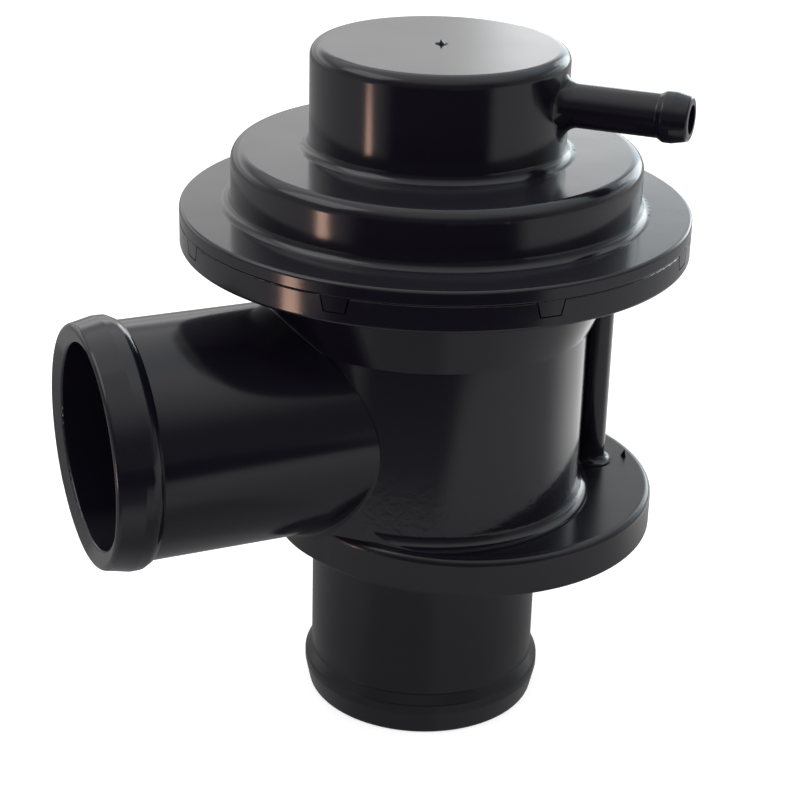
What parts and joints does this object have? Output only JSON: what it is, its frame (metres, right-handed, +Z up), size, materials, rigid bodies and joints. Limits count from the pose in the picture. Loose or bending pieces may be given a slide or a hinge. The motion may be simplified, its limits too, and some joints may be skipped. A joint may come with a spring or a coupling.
{
  "type": "blow off valve",
  "caption": "Moulded diaphragm valve with a bottom hose port, a side hose port, a stepped cap and a barbed vacuum nipple; vents boost air when the nipple draws vacuum.",
  "frame": {"origin": "centre of the bottom port's end face, on the valve's axis", "axes": "+Z up along the valve's axis, -X out of the side port"},
  "size_m": [0.0737, 0.0602, 0.0834],
  "materials": {
    "moulded_plastic": "glossy moulded PBT with glass fibre",
    "rubber": "smooth moulded rubber",
    "steel": "zinc-plated steel",
    "bronze": "sintered bronze"
  },
  "bodies": {
    "shell": {"housing": "moulded_plastic", "inlet_port": "moulded_plastic", "cover": "moulded_plastic", "diaphragm": "rubber", "return_spring": "steel", "guide_bush": "bronze", "stem_seal": "rubber", "seal_retainer": "steel"},
    "valve": {"valve_stem": "steel", "stem_nut": "steel", "poppet": "moulded_plastic", "poppet_seal": "rubber", "seal_washer": "steel", "lower_plate": "steel", "upper_plate": "steel"}
  },
  "joints": [
    {"name": "valve_lift", "type": "slide", "parent": "shell", "child": "valve", "axis": [0, 0, 1], "range_m": [0, 0.006], "stiffness_N_per_m": 1500, "springref_m": -0.012, "deforming": ["return_spring", "diaphragm"]}
  ]
}
